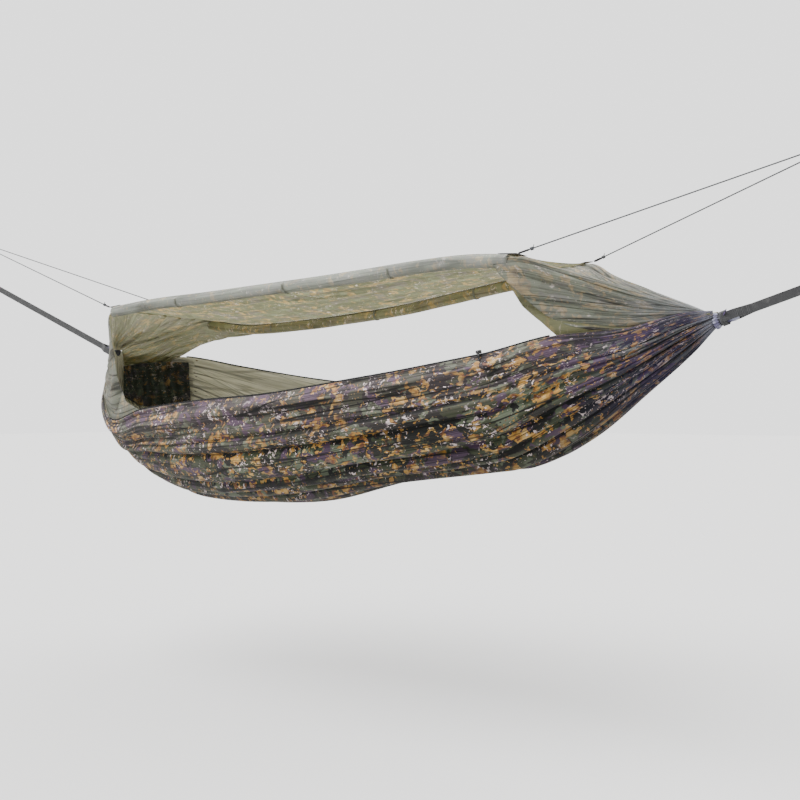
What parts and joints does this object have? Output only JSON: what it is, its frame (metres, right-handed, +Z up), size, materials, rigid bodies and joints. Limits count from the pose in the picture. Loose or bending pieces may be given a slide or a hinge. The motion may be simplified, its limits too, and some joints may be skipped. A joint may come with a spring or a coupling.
{
  "type": "camping hammock",
  "caption": "Gathered-end camping hammock with a guyed fabric roof, end hoods, rolled side doors, zips, webbing straps and guy lines.",
  "frame": {"origin": "centre of the sewn eye at the end of the right strap", "axes": "+X runs along the hammock from the left end to the right end, +Y to the far side, +Z up"},
  "size_m": [3.9335, 0.66, 1.1652],
  "materials": {
    "camouflage_fabric": "ripstop nylon, blotched print",
    "lining_fabric": "plain nylon",
    "panel_fabric": "doubled dark nylon",
    "roof_fabric": "thin nylon, blotched print",
    "zip_tape": "woven tape",
    "zip_metal": "black enamel",
    "tie_elastic": "elastic braid",
    "whipping_cord": "braided cord",
    "stitching": "bar-tacked thread",
    "webbing": "flat woven webbing",
    "binding_tape": "folded binding tape",
    "patch_fabric": "coated reinforcement",
    "shock_cord": "braid-covered elastic",
    "guy_cord": "braided cord"
  },
  "bodies": {
    "roof": {"far_door_ties": "tie_elastic", "far_left_corner_patch": "patch_fabric", "far_left_end_loop": "guy_cord", "far_left_guy_line": "guy_cord", "far_left_line_knot": "guy_cord", "far_left_shock_loop": "shock_cord", "far_right_corner_patch": "patch_fabric", "far_right_end_loop": "guy_cord", "far_right_guy_line": "guy_cord", "far_right_line_knot": "guy_cord", "far_right_shock_loop": "shock_cord", "far_rolled_door": "roof_fabric", "left_hood": "roof_fabric", "near_door_ties": "tie_elastic", "near_left_corner_patch": "patch_fabric", "near_left_end_loop": "guy_cord", "near_left_guy_line": "guy_cord", "near_left_line_knot": "guy_cord", "near_left_shock_loop": "shock_cord", "near_right_corner_patch": "patch_fabric", "near_right_end_loop": "guy_cord", "near_right_guy_line": "guy_cord", "near_right_line_knot": "guy_cord", "near_right_shock_loop": "shock_cord", "near_rolled_door": "roof_fabric", "right_hood": "roof_fabric", "right_hood_lining": "lining_fabric", "roof_panel": "roof_fabric"},
    "bed": {"bed_inner_layer": "lining_fabric", "bed_outer_layer": "camouflage_fabric", "far_zip_tape": "zip_tape", "left_end_gather": "camouflage_fabric", "left_inner_panel": "panel_fabric", "left_knot_tails": "binding_tape", "left_strap": "webbing", "left_strap_stitching": "stitching", "left_whipping": "whipping_cord", "near_zip_tape": "zip_tape", "right_end_gather": "camouflage_fabric", "right_knot_tails": "binding_tape", "right_strap": "webbing", "right_strap_stitching": "stitching", "right_whipping": "whipping_cord"},
    "near_slider": {"near_zip_slider": "zip_metal"},
    "near_pull": {"near_zip_pull": "zip_metal"},
    "far_slider": {"far_zip_slider": "zip_metal"},
    "far_pull": {"far_zip_pull": "zip_metal"}
  },
  "joints": [
    {"name": "bed_swing", "type": "hinge", "parent": "roof", "child": "bed", "pos_m": [0, 0, 0], "axis": [0.9967, 0, -0.0813], "range_deg": [-12, 12], "deforming": ["left_hood", "right_hood", "right_hood_lining"]},
    {"name": "near_zip_slide", "type": "slide", "parent": "bed", "child": "near_slider", "axis": [0.9722, 0.1727, 0.1583], "range_m": [-0.22, 0]},
    {"name": "near_pull_swing", "type": "hinge", "parent": "near_slider", "child": "near_pull", "pos_m": [-0.8803, -0.28239, -0.16662], "axis": [0.9722, 0.1727, 0.1583], "range_deg": [-150, 0]},
    {"name": "far_zip_slide", "type": "slide", "parent": "bed", "child": "far_slider", "axis": [0.9722, -0.1727, 0.1583], "range_m": [-0.22, 0]},
    {"name": "far_pull_swing", "type": "hinge", "parent": "far_slider", "child": "far_pull", "pos_m": [-0.8803, 0.28239, -0.16662], "axis": [0.9722, -0.1727, 0.1583], "range_deg": [0, 150]}
  ]
}
